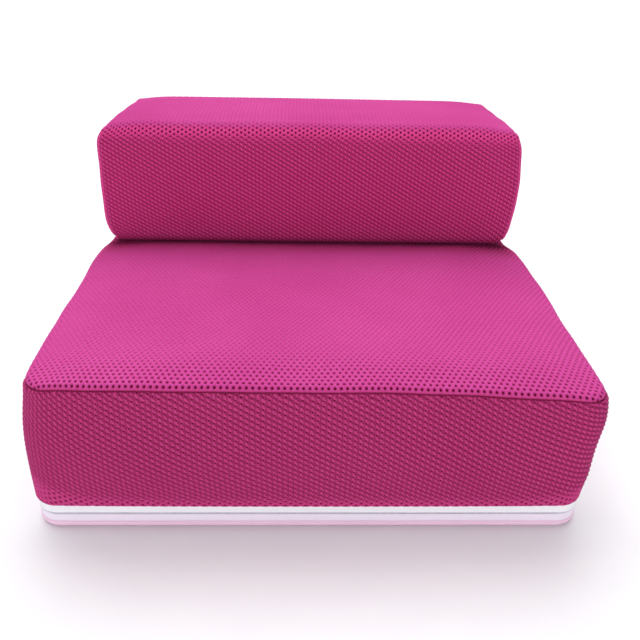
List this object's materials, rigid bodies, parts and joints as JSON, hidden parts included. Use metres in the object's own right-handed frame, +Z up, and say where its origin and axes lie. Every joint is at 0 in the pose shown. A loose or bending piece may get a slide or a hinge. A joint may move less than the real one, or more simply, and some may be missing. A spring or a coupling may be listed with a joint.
{
  "type": "foldable pet stair",
  "caption": "Low foam pet stair of an almost square lower step and a shallower upper step hinged at the back, in zip-off magenta mesh covers.",
  "frame": {"origin": "middle of the base, on the surface that the stair stands on", "axes": "+Z up, +Y from the front of the lower step towards the back under the upper step, +X to the right seen from the front"},
  "size_m": [0.4021, 0.4141, 0.2344],
  "materials": {
    "mesh_cover": "magenta knitted spacer mesh with round holes",
    "foam": "open-cell polyurethane foam",
    "base_cloth": "pale woven cloth with small grip dots",
    "zip_tape": "white woven polyester tape",
    "zip_coil": "white nylon coil",
    "zip_metal": "white enamelled zinc alloy",
    "hinge_tape": "magenta herringbone tape",
    "thread": "magenta sewing thread"
  },
  "bodies": {
    "lower_step": {"lower_foam": "foam", "lower_top_panel": "mesh_cover", "lower_front_and_sides": "mesh_cover", "lower_back_panel": "mesh_cover", "base_cloth": "base_cloth", "lower_zip_tape_bottom": "zip_tape", "lower_zip_tape_top": "zip_tape", "lower_zip_coil_bottom": "zip_coil", "lower_zip_coil_top": "zip_coil", "lower_zip_top_stops": "zip_metal", "lower_zip_bottom_stop": "zip_metal", "hinge_tape_lower_leaf": "hinge_tape", "hinge_stitching_lower": "thread"},
    "upper_step": {"upper_foam": "foam", "upper_wrap_panel": "mesh_cover", "upper_bottom_panel": "mesh_cover", "upper_left_end_panel": "mesh_cover", "upper_right_end_panel": "mesh_cover", "upper_zip_tape_bottom": "zip_tape", "upper_zip_tape_top": "zip_tape", "upper_zip_coil_bottom": "zip_coil", "upper_zip_coil_top": "zip_coil", "upper_zip_top_stops": "zip_metal", "upper_zip_bottom_stop": "zip_metal", "hinge_tape_upper_leaf": "hinge_tape", "hinge_stitching_upper": "thread"},
    "lower_zip_slider": {"lower_zip_slider": "zip_metal"},
    "lower_zip_pull": {"lower_zip_pull": "zip_metal"},
    "upper_zip_slider": {"upper_zip_slider": "zip_metal"},
    "upper_zip_pull": {"upper_zip_pull": "zip_metal"}
  },
  "joints": [
    {"name": "fold_hinge", "type": "hinge", "parent": "lower_step", "child": "upper_step", "pos_m": [0, 0.208, 0.1172], "axis": [-1, 0, 0], "range_deg": [0, 180]},
    {"name": "lower_zip_run", "type": "slide", "parent": "lower_step", "child": "lower_zip_slider", "axis": [0, -1, 0], "range_m": [0, 0.332]},
    {"name": "lower_pull_flip", "type": "hinge", "parent": "lower_zip_slider", "child": "lower_zip_pull", "pos_m": [0.20075, 0.166, 0.0134], "axis": [0, 0, 1], "range_deg": [0, 180]},
    {"name": "upper_zip_run", "type": "slide", "parent": "upper_step", "child": "upper_zip_slider", "axis": [-1, 0, 0], "range_m": [0, 0.34]},
    {"name": "upper_pull_flip", "type": "hinge", "parent": "upper_zip_slider", "child": "upper_zip_pull", "pos_m": [0.17, 0.20675, 0.1759], "axis": [0, 0, -1], "range_deg": [0, 180]}
  ]
}
